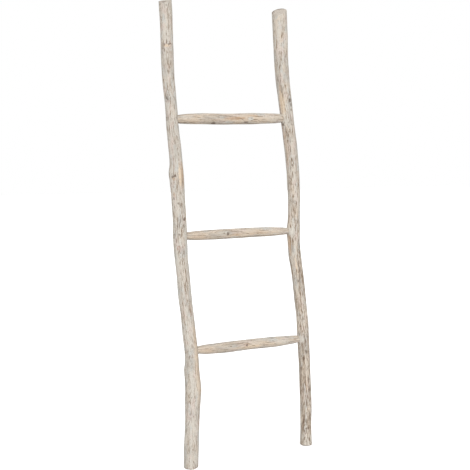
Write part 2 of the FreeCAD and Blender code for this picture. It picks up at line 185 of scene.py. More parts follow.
RAIL_RIGHT_MARKS = [
    ("dark", 1487, -112, 6, 12, -0.3, 0.95),
    ("dark", 1494, -150, 5, 9, -0.3, 0.9),
    ("dark", 1502, 138, 6, 18, -0.3, 0.95),
    ("tan", 1400, 52, 75, 6, 0, 0.45),
    ("dark", 1225, -52, 38, 3, -0.3, 0.35),
    ("tan", 1212, -66, 34, 4, 0, 0.5),
    ("dark ring", 1181, 14, 9, 8, 0.6, 0.3),
    ("dark", 1182, 14, 6, 5, -1.3, 1.0),
    ("peach", 1172, -62, 42, 10, -0.2, 0.8),
    ("tan", 1184, -74, 22, 6, -0.3, 0.6),
    ("dark", 1165, 20, 4, 4, -0.8, 0.7),
    ("dark", 1150, 18, 5, 4, -0.8, 0.7),
    ("dark", 1150, -3, 55, 1.5, -0.6, 0.45),
    ("dark", 1100, 22, 1.5, 14, -0.4, 0.45),
    ("dark", 1099, -84, 5, 6, -0.8, 0.9),
    ("dark", 1066, -50, 24, 2.4, -0.7, 0.65),
    ("dark", 1060, -38, 22, 1.6, -0.6, 0.55),
    ("tan", 1040, -78, 60, 6, 0, 0.45),
    ("dark", 1010, -36, 7, 1.8, -0.6, 0.6),
    ("tan", 995, -68, 44, 3, 0, 0.6),
    ("dark", 978, -31, 7, 2.4, -0.9, 0.95),
    ("dark", 960, -31, 4, 2.4, -0.7, 0.85),
    ("dark ring", 828, -30, 9, 8, 0.5, 0.3),
    ("dark", 828, -30, 4, 3, -0.4, 0.4),
    ("tan", 690, -76, 40, 7, -1.2, 0.8),
    ("dark", 700, -60, 22, 2, -0.6, 0.55),
    ("dark", 690, 18, 26, 3, -0.5, 0.45),
    ("peach", 612, -30, 34, 2.6, 0.3, 0.9),
    ("dark", 598, -38, 8, 2, -0.8, 0.85),
    ("dark", 562, -32, 5, 2.4, -0.8, 0.85),
    ("dark", 590, -8, 50, 4, -0.5, 0.45),
    ("dark", 318, -12, 9, 2.4, -0.9, 0.9),
    ("dark", 296, -40, 11, 2.6, -0.9, 0.9),
    ("dark", 370, -16, 24, 2.4, -0.7, 0.5),
    ("dark", 270, 23, 7, 2, -0.8, 0.7),
    ("dark", 247, -43, 7, 2, -0.7, 0.8),
    ("dark", 228, -33, 9, 1.8, -0.7, 0.7),
    ("dark", 226, -2, 8, 2, -0.7, 0.7),
    ("peach", 210, -18, 26, 1.8, 0.4, 0.8),
    ("dark", 190, -50, 7, 2.4, -0.7, 0.6),
    ("dark", 187, 4, 9, 2.6, -0.9, 0.9),
    ("dark", 142, -24, 12, 2.5, -1.0, 0.95),
    ("white", 115, -36, 60, 1.8, 0.5, 0.5),
    ("dark", 84, -58, 21, 1.9, -0.9, 0.85),
    ("dark", 90, -45, 19, 1.5, -0.7, 0.7),
    ("dark", 82, -24, 10, 2, -0.9, 0.95),
    ("dark", 92, 8, 16, 2.2, -0.9, 0.85),
    ("dark", 59, -17, 2, 9, -0.6, 0.8),
    ("white", 20, -20, 24, 26, 0, 0.4),
    ("dark", 12, -25, 12, 1.3, -0.8, 0.9),
    ("dark", 0.5, -30, 2, 34, -0.1, 0.5),
]

RUNG_TOP_MARKS = [
    ("white", -180, 20, 26, 8, 0, 0.3),
    ("tan", -165, -35, 20, 4, 0, 0.35),
    ("dark", -82, -58, 8, 6, -0.8, 0.8),
    ("tan", -78, -15, 16, 2, 0.5, 0.5),
    ("tan", -3, 6, 38, 5, -0.4, 1.0),
    ("dark", 8, 2, 22, 1.6, -0.4, 0.35),
    ("dark", 40, -44, 9, 5, -0.8, 0.75),
    ("white", 57, 0, 11, 7, 0.4, 0.9),
    ("tan", 66, 30, 30, 3, -0.2, 0.6),
    ("white", 150, 0, 30, 12, 0, 0.25),
]
RUNG_MIDDLE_MARKS = [
    ("tan ring", -52, 0, 7, 5, 0.5, 0.5),
    ("dark", -52, 4, 4, 6.5, -0.8, 1.0),
    ("tan", -20, -12, 20, 5, -0.2, 0.55),
    ("tan", -150, -20, 40, 6, 0, 0.3),
    ("white", -70, 25, 22, 5, 0, 0.4),
    ("tan", 60, -10, 40, 5, 0, 0.3),
]
RUNG_BOTTOM_MARKS = [
    ("tan ring", -5, 5, 8, 6, 0.5, 0.6),
    ("dark", -5, 7, 5, 5, -0.8, 1.0),
    ("peach", 20, -15, 34, 5, 0, 0.8),
    ("tan", -140, -5, 40, 6, 0, 0.3),
    ("bump", 100, 80, 12, 10, 1.5),
    ("dark", 98, 60, 9, 3, -0.3, 0.4),
    ("white", 150, 5, 40, 9, 0, 0.4),
    ("tan", 176, 12, 16, 2.5, -0.4, 0.9),
    ("dark", 178, -14, 20, 1.8, -0.4, 0.5),
]

MARKS = {
    "rail_left": RAIL_LEFT_MARKS,
    "rail_right": RAIL_RIGHT_MARKS,
    "rung_top": RUNG_TOP_MARKS,
    "rung_middle": RUNG_MIDDLE_MARKS,
    "rung_bottom": RUNG_BOTTOM_MARKS,
}

# Filler rubbed into the corner where a rung enters the right rail, on the side away from
# the wall: rung, bearing, half length and half width in mm, lift in mm and its whiteness.
FILLETS = (
    ("top", -62, 18, 13, 5.5, 0.25),
    ("middle", -60, 17, 13, 5.5, 0.55),
    ("bottom", -60, 15, 12, 5.0, 0.5),
)

# Flats whittled round both ends of a rung: how many, how far in from the end they run and
# how deep they bite at the end, as a share of the rung's radius.
WHITTLED_FLATS = 7
WHITTLED_REACH = 30 * MM
WHITTLED_BITE = 0.12

# The back of the rails, where nothing is known: so many small knots and stains are strewn
# between these bearings.
STREWN_BEARINGS = (75, 235)
STREWN_KNOTS = 16
STREWN_STAINS = 8

# How each branch grew: seed, sizes of its relief in mm, how far its grain winds in radians
# to the metre and the bearing where brown pits are thickest. Then the strength of the pits,
# drawn-out lines, whitewash and warm tint, each at its low end and at its high end.
RAIL_STYLE = {
    "rail_left": {"seed": 11, "lumps": 1.1, "flutes": 0.5, "grain": 0.16, "twist": 0.5,
                  "pits": (0.2, 0.3), "pit_side": -20, "lined": (0.6, 0.7),
                  "wash": (0.02, 0.02), "warm": (-0.1, 0.0)},
    "rail_right": {"seed": 47, "lumps": 0.9, "flutes": 0.6, "grain": 0.16, "twist": -0.4,
                   "pits": (1.05, 0.0), "pit_side": 10, "lined": (1.8, 0.6),
                   "wash": (-0.03, 0.02), "warm": (0.45, 0.1)},
}
RUNG_GROWTH = {"lumps": 0.7, "flutes": 0.5, "grain": 0.14, "pits": (0.35, 0.35),
               "pit_side": -60, "lined": (1.5, 1.5)}
RUNG_STYLE = {
    "rung_top": {**RUNG_GROWTH, "seed": 71, "twist": 0.8,
                 "wash": (0.03, 0.06), "warm": (0.75, 0.7)},
    "rung_middle": {**RUNG_GROWTH, "seed": 83, "twist": -0.9,
                    "wash": (0.03, 0.06), "warm": (0.7, 0.6)},
    "rung_bottom": {**RUNG_GROWTH, "seed": 97, "twist": 0.6,
                    "wash": (0.05, 0.05), "warm": (0.65, 0.5)},
}


# ---------------------------------------------------------------- numbers and noise


def smooth_step(low, high, value):
    """Go from 0 at low to 1 at high with soft ends."""
    share = np.clip((value - low) / (high - low), 0, 1)
    return share * share * (3 - 2 * share)


def bell(value, width):
    """A bell curve of height 1."""
    return np.exp(-((value / width) ** 2))


def turn_from(bearing, middle):
    """The signed angle from middle to bearing, in radians."""
    return (bearing - middle + math.pi) % (2 * math.pi) - math.pi


def hash_corner(corner, seed):
    """A steady value between -1 and 1 for each whole-number corner."""
    mixed = corner[..., 0] * 73856093 ^ corner[..., 1] * 19349663 ^ corner[..., 2] * 83492791
    mixed = (mixed ^ (seed * 668265263)) & 0xFFFFFFFF
    mixed = ((mixed ^ (mixed >> 15)) * 2246822519) & 0xFFFFFFFF
    mixed = ((mixed ^ (mixed >> 13)) * 3266489917) & 0xFFFFFFFF
    mixed = mixed ^ (mixed >> 16)
    return mixed / 2147483647.5 - 1


def noise(points, seed):
    """Smooth noise between -1 and 1, about one bump to a unit."""
    cell = np.floor(points)
    share = points - cell
    share = share**3 * (share * (share * 6 - 15) + 10)
    cell = cell.astype(np.int64)
    total = 0
    for corner in np.ndindex(2, 2, 2):
        corner = np.array(corner)
        weight = np.prod(np.where(corner == 1, share, 1 - share), axis=-1)
        total = total + weight * hash_corner(cell + corner, seed)
    return total


def layered_noise(points, seed, layers=3):
    """Noise with finer and weaker noise added to it."""
    total = 0
    for layer in range(layers):
        total = total + noise(points * 2**layer, seed + layer) / 2**layer
    return total / 1.5


def grain_noise(grain, seed, width, length, layers=3):
    """Noise drawn out along the grain: bumps of this width and length in mm."""
    scale = np.array([1 / width, 1 / width, 1 / length]) / MM
    return layered_noise(grain * scale, seed, layers)


def soften(table, reach):
    """Smooth each column of a table along its rows, with a bell curve reach rows wide."""
    half = int(3 * reach)
    weights = bell(np.arange(-half, half + 1), 1.4 * reach)
    weights = weights / weights.sum()
    rows = np.arange(len(table))
    columns = []
    for column in table.T:
        trend = np.polyfit(rows, column, 1)
        rest = np.pad(column - np.polyval(trend, rows), half, mode="edge")
        columns.append(np.convolve(rest, weights, mode="valid") + np.polyval(trend, rows))
    return np.stack(columns, axis=-1)


def fit_circle(points):
    """Centre and radius of the circle through most of the points, in the points' plane."""
    kept = points
    for _ in range(3):
        system = np.column_stack([2 * kept, np.ones(len(kept))])
        answer = np.linalg.lstsq(system, (kept**2).sum(axis=1), rcond=None)[0]
        middle = answer[:2]
        radius = math.sqrt(answer[2] + middle @ middle)
        miss = np.abs(np.linalg.norm(points - middle, axis=1) - radius)
        kept = points[miss <= max(np.quantile(miss, 0.75), 0.1 * MM)]
    return middle, radius


# ---------------------------------------------------------------- branches


class Branch:
    """A round CAD branch measured along its axis, with relief and marks laid on it."""

    def __init__(self, node, axis, style, marks, thinnest, ends):
        self.node = node
        self.axis = axis
        self.flat = [side for side in range(3) if side != axis]
        self.style = style
        self.marks = list(marks)
        self.low, self.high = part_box(node)
        self.holes = []
        self.measure(thinnest, ends)

    def across(self, bearing):
        """The unit direction out of the branch at each bearing."""
        level = np.zeros_like(bearing)
        if self.axis == 2:
            return np.stack([np.sin(bearing), -np.cos(bearing), level], axis=-1)
        return np.stack([level, -np.cos(bearing), np.sin(bearing)], axis=-1)

    def measure(self, thinnest, ends):
        """Find the branch's centre and radius at even steps along its thick part."""
        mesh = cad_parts[self.node].data
        corners = [vertex.co for vertex in mesh.vertices]
        faces = [tuple(polygon.vertices) for polygon in mesh.polygons]
        tree = BVHTree.FromPolygons(corners, faces)
        start = self.low[self.axis] + ends[0]
        stop = self.high[self.axis] - ends[1]
        outward = self.across(np.arange(MEASURE_RAYS) * 2 * math.pi / MEASURE_RAYS)
        centre = self.first_centre(np.array(corners), start)
        rows = []
        for step in np.arange(start, stop, MEASURE_SPACING):
            centre[self.axis] = step
            for _ in range(2):
                hits = cast_inward(tree, centre, outward)[:, self.flat]
                middle, radius = fit_circle(hits)
                centre[self.flat] = middle
            rows.append([*centre, radius])
        table = np.array(rows)
        table = table[table[:, 3] > thinnest]
        self.steps = table[:, self.axis]
        self.centre_table = soften(table[:, :3], 4)
        self.radius_table = soften(table[:, 3:], 4)[:, 0]

    def first_centre(self, corners, start):
        """The middle of the mesh's corners near the first place that is measured."""
        distance = np.abs(corners[:, self.axis] - start)
        near = corners[distance < distance.min() + 20 * MM]
        return (near.min(axis=0) + near.max(axis=0)) / 2

    def centre(self, along):
        """The branch's centre at each place along it, carried straight on past its ends."""
        columns = []
        for column in self.centre_table.T:
            columns.append(self.read_table(column, along))
        columns[self.axis] = along
        return np.stack(columns, axis=-1)

    def radius(self, along):
        """The branch's plain radius at each place along it."""
        return np.interp(along, self.steps, self.radius_table)

    def read_table(self, column, along):
        """A column of a table at each place along, carried straight on past its ends."""
        value = np.interp(along, self.steps, column)
        first = (column[8] - column[0]) / (self.steps[8] - self.steps[0])
        last = (column[-1] - column[-9]) / (self.steps[-1] - self.steps[-9])
        value = value + np.minimum(along - self.steps[0], 0) * first
        return value + np.maximum(along - self.steps[-1], 0) * last

    def share_along(self, along):
        """0 at the branch's low end and 1 at its high end."""
        low = self.low[self.axis]
        return (along - low) / (self.high[self.axis] - low)

    def grain(self, along, bearing, share=1.0):
        """Each point's place in a straightened branch, with the grain led past its knots."""
        turned = bearing + self.style["twist"] * along
        turned = turned + 0.06 * noise(np.stack([along * 14, along, along], -1), 5)
        for kind, at, middle, length, width, *_ in self.marks:
            if kind == "bump" or length > 3 * width:
                continue
            gap, aside = self.offset(along, bearing, at * MM, math.radians(middle))
            pull = bell(gap, 3.4 * length * MM) * bell(aside, 2.4 * width * MM)
            turned = turned - 0.35 * pull * turn_from(bearing, math.radians(middle))
        reach = NOISE_RADIUS * share
        return np.stack([np.cos(turned) * reach, np.sin(turned) * reach, along], axis=-1)

    def offset(self, along, bearing, at, middle):
        """Distance along and round the branch from a named place to each point."""
        return along - at, turn_from(bearing, middle) * self.radius(np.asarray(at))

    def mark_share(self, mark, along, bearing):
        """How strongly each point lies in a mark, from 0 to 1."""
        kind, at, middle, length, width = mark[:5]
        gap, aside = self.offset(along, bearing, at * MM, math.radians(middle))
        distance = np.hypot(gap / (length * MM), aside / (width * MM))
        if kind == "bump":
            return bell(distance, 1)
        near = distance < 2.4
        ragged = np.stack([gap * 260, aside * 420, gap * 0 + at], axis=-1)[near]
        reach = distance[near] + 0.28 * noise(ragged, self.style["seed"])
        share = np.zeros_like(distance)
        if kind.endswith("ring"):
            share[near] = bell(reach - 1, 0.26)
        else:
            share[near] = smooth_step(1.3, 0.55, reach)
        return share

    def pit_amount(self, along, bearing):
        """How thickly brown pits are strewn at each point."""
        amount = np.interp(self.share_along(along), (0, 1), self.style["pits"])
        return amount * (1 + 0.45 * np.cos(bearing - math.radians(self.style["pit_side"])))

    def pits(self, along, bearing, grain):
        """Pits drawn out along the grain, closer together where the style says so."""
        amount = self.pit_amount(along, bearing)
        field = grain_noise(grain, self.style["seed"] + 300, 2.4, 18)
        patch = grain_noise(grain, self.style["seed"] + 320, 16, 70, 2)
        edge = 0.72 - 0.34 * amount - 0.16 * patch
        return smooth_step(edge, edge + 0.2, field)

    def relief(self, along, bearing):
        """How far the finished skin stands out from the plain branch."""
        seed = self.style["seed"]
        grain = self.grain(along, bearing)
        height = self.style["lumps"] * grain_noise(grain, seed, 24, 60, 2)
        flutes = grain_noise(grain, seed + 10, 9, 90, 2)
        height = height + self.style["flutes"] * flutes
        height = height + self.style["grain"] * grain_noise(grain, seed + 20, 2.8, 22, 2)
        height = height - 0.6 * self.pits(along, bearing, grain)
        for mark in self.marks:
            height = height + mark[5] * self.mark_share(mark, along, bearing)
        height = height * MM
        if self.axis == 0:
            height = height + self.whittling(along, bearing, height)
        for at, middle in self.holes:
            gap, aside = self.offset(along, bearing, at, middle)
            inside = smooth_step(DISH_EDGE, DISH_FLAT, np.hypot(gap, aside))
            height = height * (1 - inside) - PLUG_DISH * inside
        return height

    def whittling(self, along, bearing, height):
        """How far the flats whittled at a rung's ends cut below its skin."""
        gap = np.minimum(along - self.steps[0], self.steps[-1] - along)
        bite = WHITTLED_BITE * np.clip(1 - gap / WHITTLED_REACH, -1, 1)
        width = 2 * math.pi / WHITTLED_FLATS
        turn = (bearing + self.style["seed"]) % width - width / 2
        radius = self.radius(along)
        flat = radius * (1 - bite) / np.cos(turn)
        return np.minimum(0, flat - radius - height)

    def masks(self, along, bearing):
        """The strength of each colour mask at each point."""
        shares = {name: np.zeros(np.broadcast(along, bearing).shape) for name in MASKS}
        for mark in self.marks:
            if mark[0] != "bump":
                name = mark[0].split()[0]
                strength = mark[6] * self.mark_share(mark, along, bearing)
                shares[name] = np.maximum(shares[name], strength)
        pits = self.pits(along, bearing, self.grain(along, bearing))
        shares["dark"] = np.maximum(shares["dark"], 0.25 * pits)
        shares["pitted"] = self.pit_amount(along, bearing)
        for name in ("wash", "warm", "lined"):
            shares[name] = np.interp(self.share_along(along), (0, 1), self.style[name])
        if self.axis == 0:
            shares["warm"] = shares["warm"] * (0.6 + 0.8 * np.cos(bearing + math.radians(20)))
        for at, middle in self.holes:
            gap, aside = self.offset(along, bearing, at, middle)
            # A dark ring round each plug: its seam, and painted shade in the crease round it.
            seam_shade = bell(np.hypot(gap, aside) - PLUG_SEAM_SHADE, PLUG_SEAM_SHADE_WIDTH)
            shares["dark"] = np.maximum(shares["dark"], 0.8 * seam_shade)
        return shares

    def point(self, along, bearing, share=1.0):
        """Points of the finished skin, or inside it where share is below 1."""
        reach = (self.radius(along) + self.relief(along, bearing)) * share
        return self.centre(along) + self.across(bearing) * reach[..., None]


def cast_inward(tree, centre, outward):
    """Where rays aimed at the centre from all round first meet the mesh."""
    reach = 80 * MM
    hits = []
    for direction in outward:
        origin = Vector(centre + direction * reach)
        found = tree.ray_cast(origin, Vector(-direction), reach)[0]
        if found is not None:
            hits.append(found)
    return np.array(hits)


# ---------------------------------------------------------------- meshes


def cut_plane(node):
    """A point and the normal of the sawn face on top of a rail."""
    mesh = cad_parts[node].data
    top = max(vertex.co.z for vertex in mesh.vertices)
    normal = Vector()
    middle = Vector()
    area = 0
    for polygon in mesh.polygons:
        if polygon.center.z > top - 40 * MM and polygon.normal.z > 0.8:
            normal += polygon.normal * polygon.area
            middle += polygon.center * polygon.area
            area += polygon.area
    return np.array(middle / area), np.array(normal.normalized())


def meet_plane(branch, bearing, share, start, plane):
    """How far along the branch its skin meets a plane, at each bearing."""
    middle, normal = plane
    along = np.full_like(bearing, start)
    for _ in range(6):
        miss = (branch.point(along, bearing, share) - middle) @ normal
        along = along - miss / normal[branch.axis]
    return along


class Rings:
    """Rings of points stacked from one end of a branch to the other."""

    def __init__(self, branch):
        self.branch = branch
        self.bearing = np.arange(SIDES) * 2 * math.pi / SIDES
        self.rows = []
        self.cuts = None

    def add(self, along, share=1.0, end=0.0, place=None):
        """Add one ring. place gives its points where they don't lie on the skin."""
        along = np.broadcast_to(along, self.bearing.shape)
        share = np.broadcast_to(share, self.bearing.shape)
        self.rows.append((along, share, end, place))

    def finish(self):
        """Work out the points, grain coordinates and masks of every ring at once."""
        along = np.array([row[0] for row in self.rows], dtype=float)
        share = np.array([row[1] for row in self.rows], dtype=float)
        bearing = np.broadcast_to(self.bearing, along.shape)
        self.points = self.branch.point(along, bearing, share)
        for number, row in enumerate(self.rows):
            if row[3] is not None:
                self.points[number] = row[3]
        self.grain = self.branch.grain(along, bearing, share)
        masks = self.branch.masks(along, bearing)
        stain = np.where(share < 0.95, self.rim(along, share, STAIN_WIDTH), 1)
        for name in (*MASKS, "pitted"):
            masks[name] = masks[name] * stain
        masks["rim"] = self.rim(along, share, RIM_WIDTH) * self.edge_darkness(along, bearing)
        masks["end"] = np.repeat([row[2] for row in self.rows], SIDES).reshape(along.shape)
        self.masks = masks

    def rim(self, along, share, width):
        """How close each point lies to a sawn edge, on the skin or on the sawn face."""
        low, high = self.cuts
        gap = np.minimum(np.abs(along - low), np.abs(high - along))
        inward = (1 - share) * self.branch.radius(along)
        return bell(np.hypot(gap, inward), width)

    def edge_darkness(self, along, bearing):
        """How dark a sawn edge is made: all round the low end, and at the high end's back."""
        middle = np.mean(self.cuts)
        return np.where(along > middle, (1 - np.cos(bearing)) / 2, 1)


def end_rings(rings, along, bevel, sign):
    """Round a sawn edge over and close the end. sign is 1 at a high end, -1 at a low one."""
    branch = rings.branch
    radius = branch.radius(along)
    rounded = []
    for step in range(BEVEL_STEPS + 1):
        angle = step / BEVEL_STEPS * math.pi / 2
        share = 1 - bevel * (1 - math.sin(math.pi / 2 - angle)) / radius
        shift = bevel * (1 - math.sin(angle))
        rounded.append((along - sign * shift, share, step / BEVEL_STEPS, None))
    place = branch.point(along, rings.bearing, 1 - bevel / radius)
    middle = place.mean(axis=0)
    flat = []
    for step in range(1, CAP_RINGS + 1):
        rest = 1 - step / (CAP_RINGS + INNER_RING)
        flat.append((along, rest, 1, middle + (place - middle) * rest))
    return (rounded + flat)[::sign]


def stack_rings(branch, low_cut, high_cut, bevels):
    """All rings of a branch. A cut is a distance along it, or a plane that it is sawn to."""
    rings = Rings(branch)
    low = cut_distance(rings, low_cut, bevels[0])
    high = cut_distance(rings, high_cut, bevels[1])
    rings.cuts = (low, high)
    low_end = end_rings(rings, low, bevels[0], -1)
    high_end = end_rings(rings, high, bevels[1], 1)
    for ring in low_end:
        rings.add(*ring)
    first = low_end[-1][0]
    last = high_end[0][0]
    level = [first.max() + RING_SPACING, last.min() - TOP_SLANT_REACH]
    for along in np.arange(first.mean(), level[1], RING_SPACING)[1:]:
        rings.add(along)
    steps = int(round((last.mean() - level[1]) / RING_SPACING))
    for step in range(steps):
        rings.add(level[1] + (last - level[1]) * step / steps)
    for ring in high_end:
        rings.add(*ring)
    rings.finish()
    return rings


def cut_distance(rings, cut, bevel):
    """How far along the branch a cut lies at each bearing."""
    if isinstance(cut, float):
        return np.full(SIDES, cut)
    branch = rings.branch
    start = float(cut[0][branch.axis])
    share = 1 - bevel / branch.radius(np.full(SIDES, start))
    return meet_plane(branch, rings.bearing, share, start, cut)


def ring_faces(count):
    """Quads between neighbouring rings."""
    column = np.arange(SIDES)
    after = (column + 1) % SIDES
    faces = []
    for row in range(count - 1):
        low = row * SIDES
        high = low + SIDES
        faces.append(np.stack([low + column, low + after, high + after, high + column], -1))
    return np.concatenate(faces)


def build_branch_mesh(name, rings, strips):
    """Turn rings into a closed mesh with its grain, masks and bake layout."""
    count = len(rings.rows)
    flip = rings.branch.axis == 0
    faces = ring_faces(count)
    if flip:
        faces = faces[:, ::-1]
    fans = end_fans(count, count * SIDES, flip)
    mesh = bpy.data.meshes.new(name)
    mesh.from_pydata(with_ends(rings.points).tolist(), [], faces.tolist() + fans)
    mesh.shade_smooth()
    store_grain(mesh, with_ends(rings.grain))
    for mask, values in rings.masks.items():
        store_mask(mesh, mask, with_ends(values[..., None]))
    lay_out_bake(mesh, rings, strips)
    mesh.update()
    return mesh


def store_grain(mesh, places):
    """Store each vertex's place in the straightened branch."""
    layer = mesh.attributes.new("grain", "FLOAT_VECTOR", "POINT")
    layer.data.foreach_set("vector", places.ravel())


def store_mask(mesh, name, shares):
    """Store one number for each vertex."""
    layer = mesh.attributes.new(name, "FLOAT", "POINT")
    layer.data.foreach_set("value", shares.ravel())


def with_ends(rows):
    """Rows of values as one list, with the mean of the first and the last row after it."""
    flat = rows.reshape(-1, rows.shape[-1])
    return np.concatenate([flat, [rows[0].mean(axis=0), rows[-1].mean(axis=0)]])


def end_fans(count, low, flip):
    """Triangles that close the smallest ring at each end."""
    fans = []
    last_ring = (count - 1) * SIDES
    for side in range(SIDES):
        after = (side + 1) % SIDES
        bottom = (low, after, side)
        top = (low + 1, last_ring + side, last_ring + after)
        for fan in (bottom, top):
            fans.append(fan[::-1] if flip else fan)
    return fans


def lay_out_bake(mesh, rings, strips):
    """Lay the skin out in upright strips side by side, and the two ends beside them."""
    count = len(rings.rows)
    rows = math.ceil((count - 2 * CAP_RINGS - 1) / strips)
    corners = []
    for row in range(count - 1):
        if CAP_RINGS <= row < count - CAP_RINGS - 1:
            quad = skin_quad(row - CAP_RINGS, rows, strips)
        else:
            quad = end_quad(row, count, rings.bearing)
        if rings.branch.axis == 0:
            quad = quad[::-1]
        block = np.stack([np.stack(corner, axis=-1) for corner in quad], axis=1)
        corners.append(block.reshape(-1, 2))
    corners.append(fan_corners(rings.bearing))
    layer = mesh.uv_layers.new(name="OFBake")
    layer.data.foreach_set("uv", np.concatenate(corners).ravel())


def skin_quad(row, rows, strips):
    """The four corners in the bake of every face in one row of the skin."""
    width = BAKE_SKIN / strips
    strip, step = divmod(row, rows)
    column = np.arange(SIDES)
    left = BAKE_MARGIN + strip * (width + BAKE_GAP)
    u0 = left + (width - BAKE_TRIM) * column / SIDES
    u1 = left + (width - BAKE_TRIM) * (column + 1) / SIDES
    v0 = np.full(SIDES, BAKE_MARGIN + (1 - 2 * BAKE_MARGIN) * step / rows)
    v1 = np.full(SIDES, BAKE_MARGIN + (1 - 2 * BAKE_MARGIN) * (step + 1) / rows)
    return [(u0, v0), (u1, v0), (u1, v1), (u0, v1)]


def end_quad(row, count, bearing):
    """The four corners in the bake of every face in one row of a sawn end."""
    high_end = row >= count - CAP_RINGS - 1
    inner = (count - 1 - row, count - 2 - row) if high_end else (row, row + 1)
    middle = BAKE_ENDS[high_end]
    quad = []
    for ring, side in ((0, 0), (0, 1), (1, 1), (1, 0)):
        reach = BAKE_REACH * (inner[ring] + INNER_RING) / (CAP_RINGS + INNER_RING)
        turn = bearing + side * 2 * math.pi / SIDES
        quad.append((middle[0] + reach * np.cos(turn), middle[1] + reach * np.sin(turn)))
    return quad


def fan_corners(bearing):
    """The corners in the bake of the triangles in the middle of both ends."""
    reach = BAKE_REACH * INNER_RING / (CAP_RINGS + INNER_RING)
    corners = []
    for turn in bearing:
        for middle in BAKE_ENDS:
            corners.append(middle)
            for angle in (turn, turn + 2 * math.pi / SIDES):
                across = (math.cos(angle), math.sin(angle))
                corners.append((middle[0] + reach * across[0], middle[1] + reach * across[1]))
    return np.array(corners)


# ---------------------------------------------------------------- materials


class Shader:
    """Adds nodes to a material with constants set on their sockets."""

    def __init__(self, name):
        self.material = bpy.data.materials.new(name)
        self.material.use_nodes = True
        self.tree = self.material.node_tree
        self.tree.nodes.clear()
        self.surface = self.tree.nodes.new("ShaderNodeBsdfPrincipled")
        output = self.tree.nodes.new("ShaderNodeOutputMaterial")
        self.tree.links.new(self.surface.outputs["BSDF"], output.inputs["Surface"])

    def feed(self, socket, value):
        """Link a socket to another, or set it to a constant."""
        if isinstance(value, bpy.types.NodeSocket):
            self.tree.links.new(value, socket)
        else:
            socket.default_value = value

    def attribute(self, name):
        """A number stored on the mesh."""
        node = self.tree.nodes.new("ShaderNodeAttribute")
        node.attribute_name = name
        return node.outputs["Fac"]

    def grain(self):
        """The place in the straightened branch."""
        node = self.tree.nodes.new("ShaderNodeAttribute")
        node.attribute_name = "grain"
        return node.outputs["Vector"]

    def math(self, kind, first, second=0.0, clamp=False):
        """Arithmetic on two numbers."""
        node = self.tree.nodes.new("ShaderNodeMath")
        node.operation = kind
        node.use_clamp = clamp
        self.feed(node.inputs[0], first)
        self.feed(node.inputs[1], second)
        return node.outputs[0]

    def noise(self, place, width, length, detail=3.0, rough=0.55, shift=0.0):
        """Noise drawn out along the grain: bumps of this width and length in mm."""
        node = self.tree.nodes.new("ShaderNodeMapping")
        node.inputs["Scale"].default_value = (1 / width / MM, 1 / width / MM, 1 / length / MM)
        node.inputs["Location"].default_value = (shift, 2 * shift, 3 * shift)
        self.feed(node.inputs["Vector"], place)
        bumps = self.tree.nodes.new("ShaderNodeTexNoise")
        self.feed(bumps.inputs["Vector"], node.outputs[0])
        bumps.inputs["Scale"].default_value = 1
        bumps.inputs["Detail"].default_value = detail
        bumps.inputs["Roughness"].default_value = rough
        return bumps.outputs["Fac"]

    def step(self, value, low, high, bottom=0.0, top=1.0):
        """Go softly from bottom to top as the value goes from low to high."""
        node = self.tree.nodes.new("ShaderNodeMapRange")
        node.interpolation_type = "SMOOTHSTEP"
        for name, number in (("Value", value), ("From Min", low), ("From Max", high),
                             ("To Min", bottom), ("To Max", top)):
            self.feed(node.inputs[name], number)
        return node.outputs["Result"]

    def mix(self, share, first, second):
        """A colour between two colours."""
        node = self.tree.nodes.new("ShaderNodeMix")
        node.data_type = "RGBA"
        node.clamp_factor = True
        self.feed(node.inputs[0], share)
        self.feed(node.inputs[6], first)
        self.feed(node.inputs[7], second)
        return node.outputs[2]

    def bump(self, height, distance):
        """Send a height to the surface as relief too fine for the mesh."""
        node = self.tree.nodes.new("ShaderNodeBump")
        node.inputs["Distance"].default_value = distance
        self.feed(node.inputs["Height"], height)
        self.feed(self.surface.inputs["Normal"], node.outputs["Normal"])


def colour(red, green, blue):
    """A colour given as screen values from 0 to 255, for a shader socket."""
    screen = np.array([red, green, blue]) / 255
    light = np.where(screen > 0.04045, ((screen + 0.055) / 1.055) ** 2.4, screen / 12.92)
    return (*light.tolist(), 1.0)


WASH = colour(198, 192, 182)
WARM_WASH = colour(205, 189, 170)
COOL_WASH = colour(188, 189, 185)
PINK_WASH = colour(204, 189, 180)
THIN_WASH = colour(168, 153, 137)
BARE = colour(126, 108, 90)
TAN = colour(178, 149, 121)
PEACH = colour(213, 193, 168)
BROWN = colour(84, 62, 46)
PIT_BROWN = colour(104, 82, 62)
RUST = colour(150, 112, 98)
GREY = colour(156, 153, 146)
RIM = colour(98, 88, 78)
FILLER = colour(200, 197, 188)
END_PALE = colour(194, 182, 170)
END_DARK = colour(134, 118, 104)


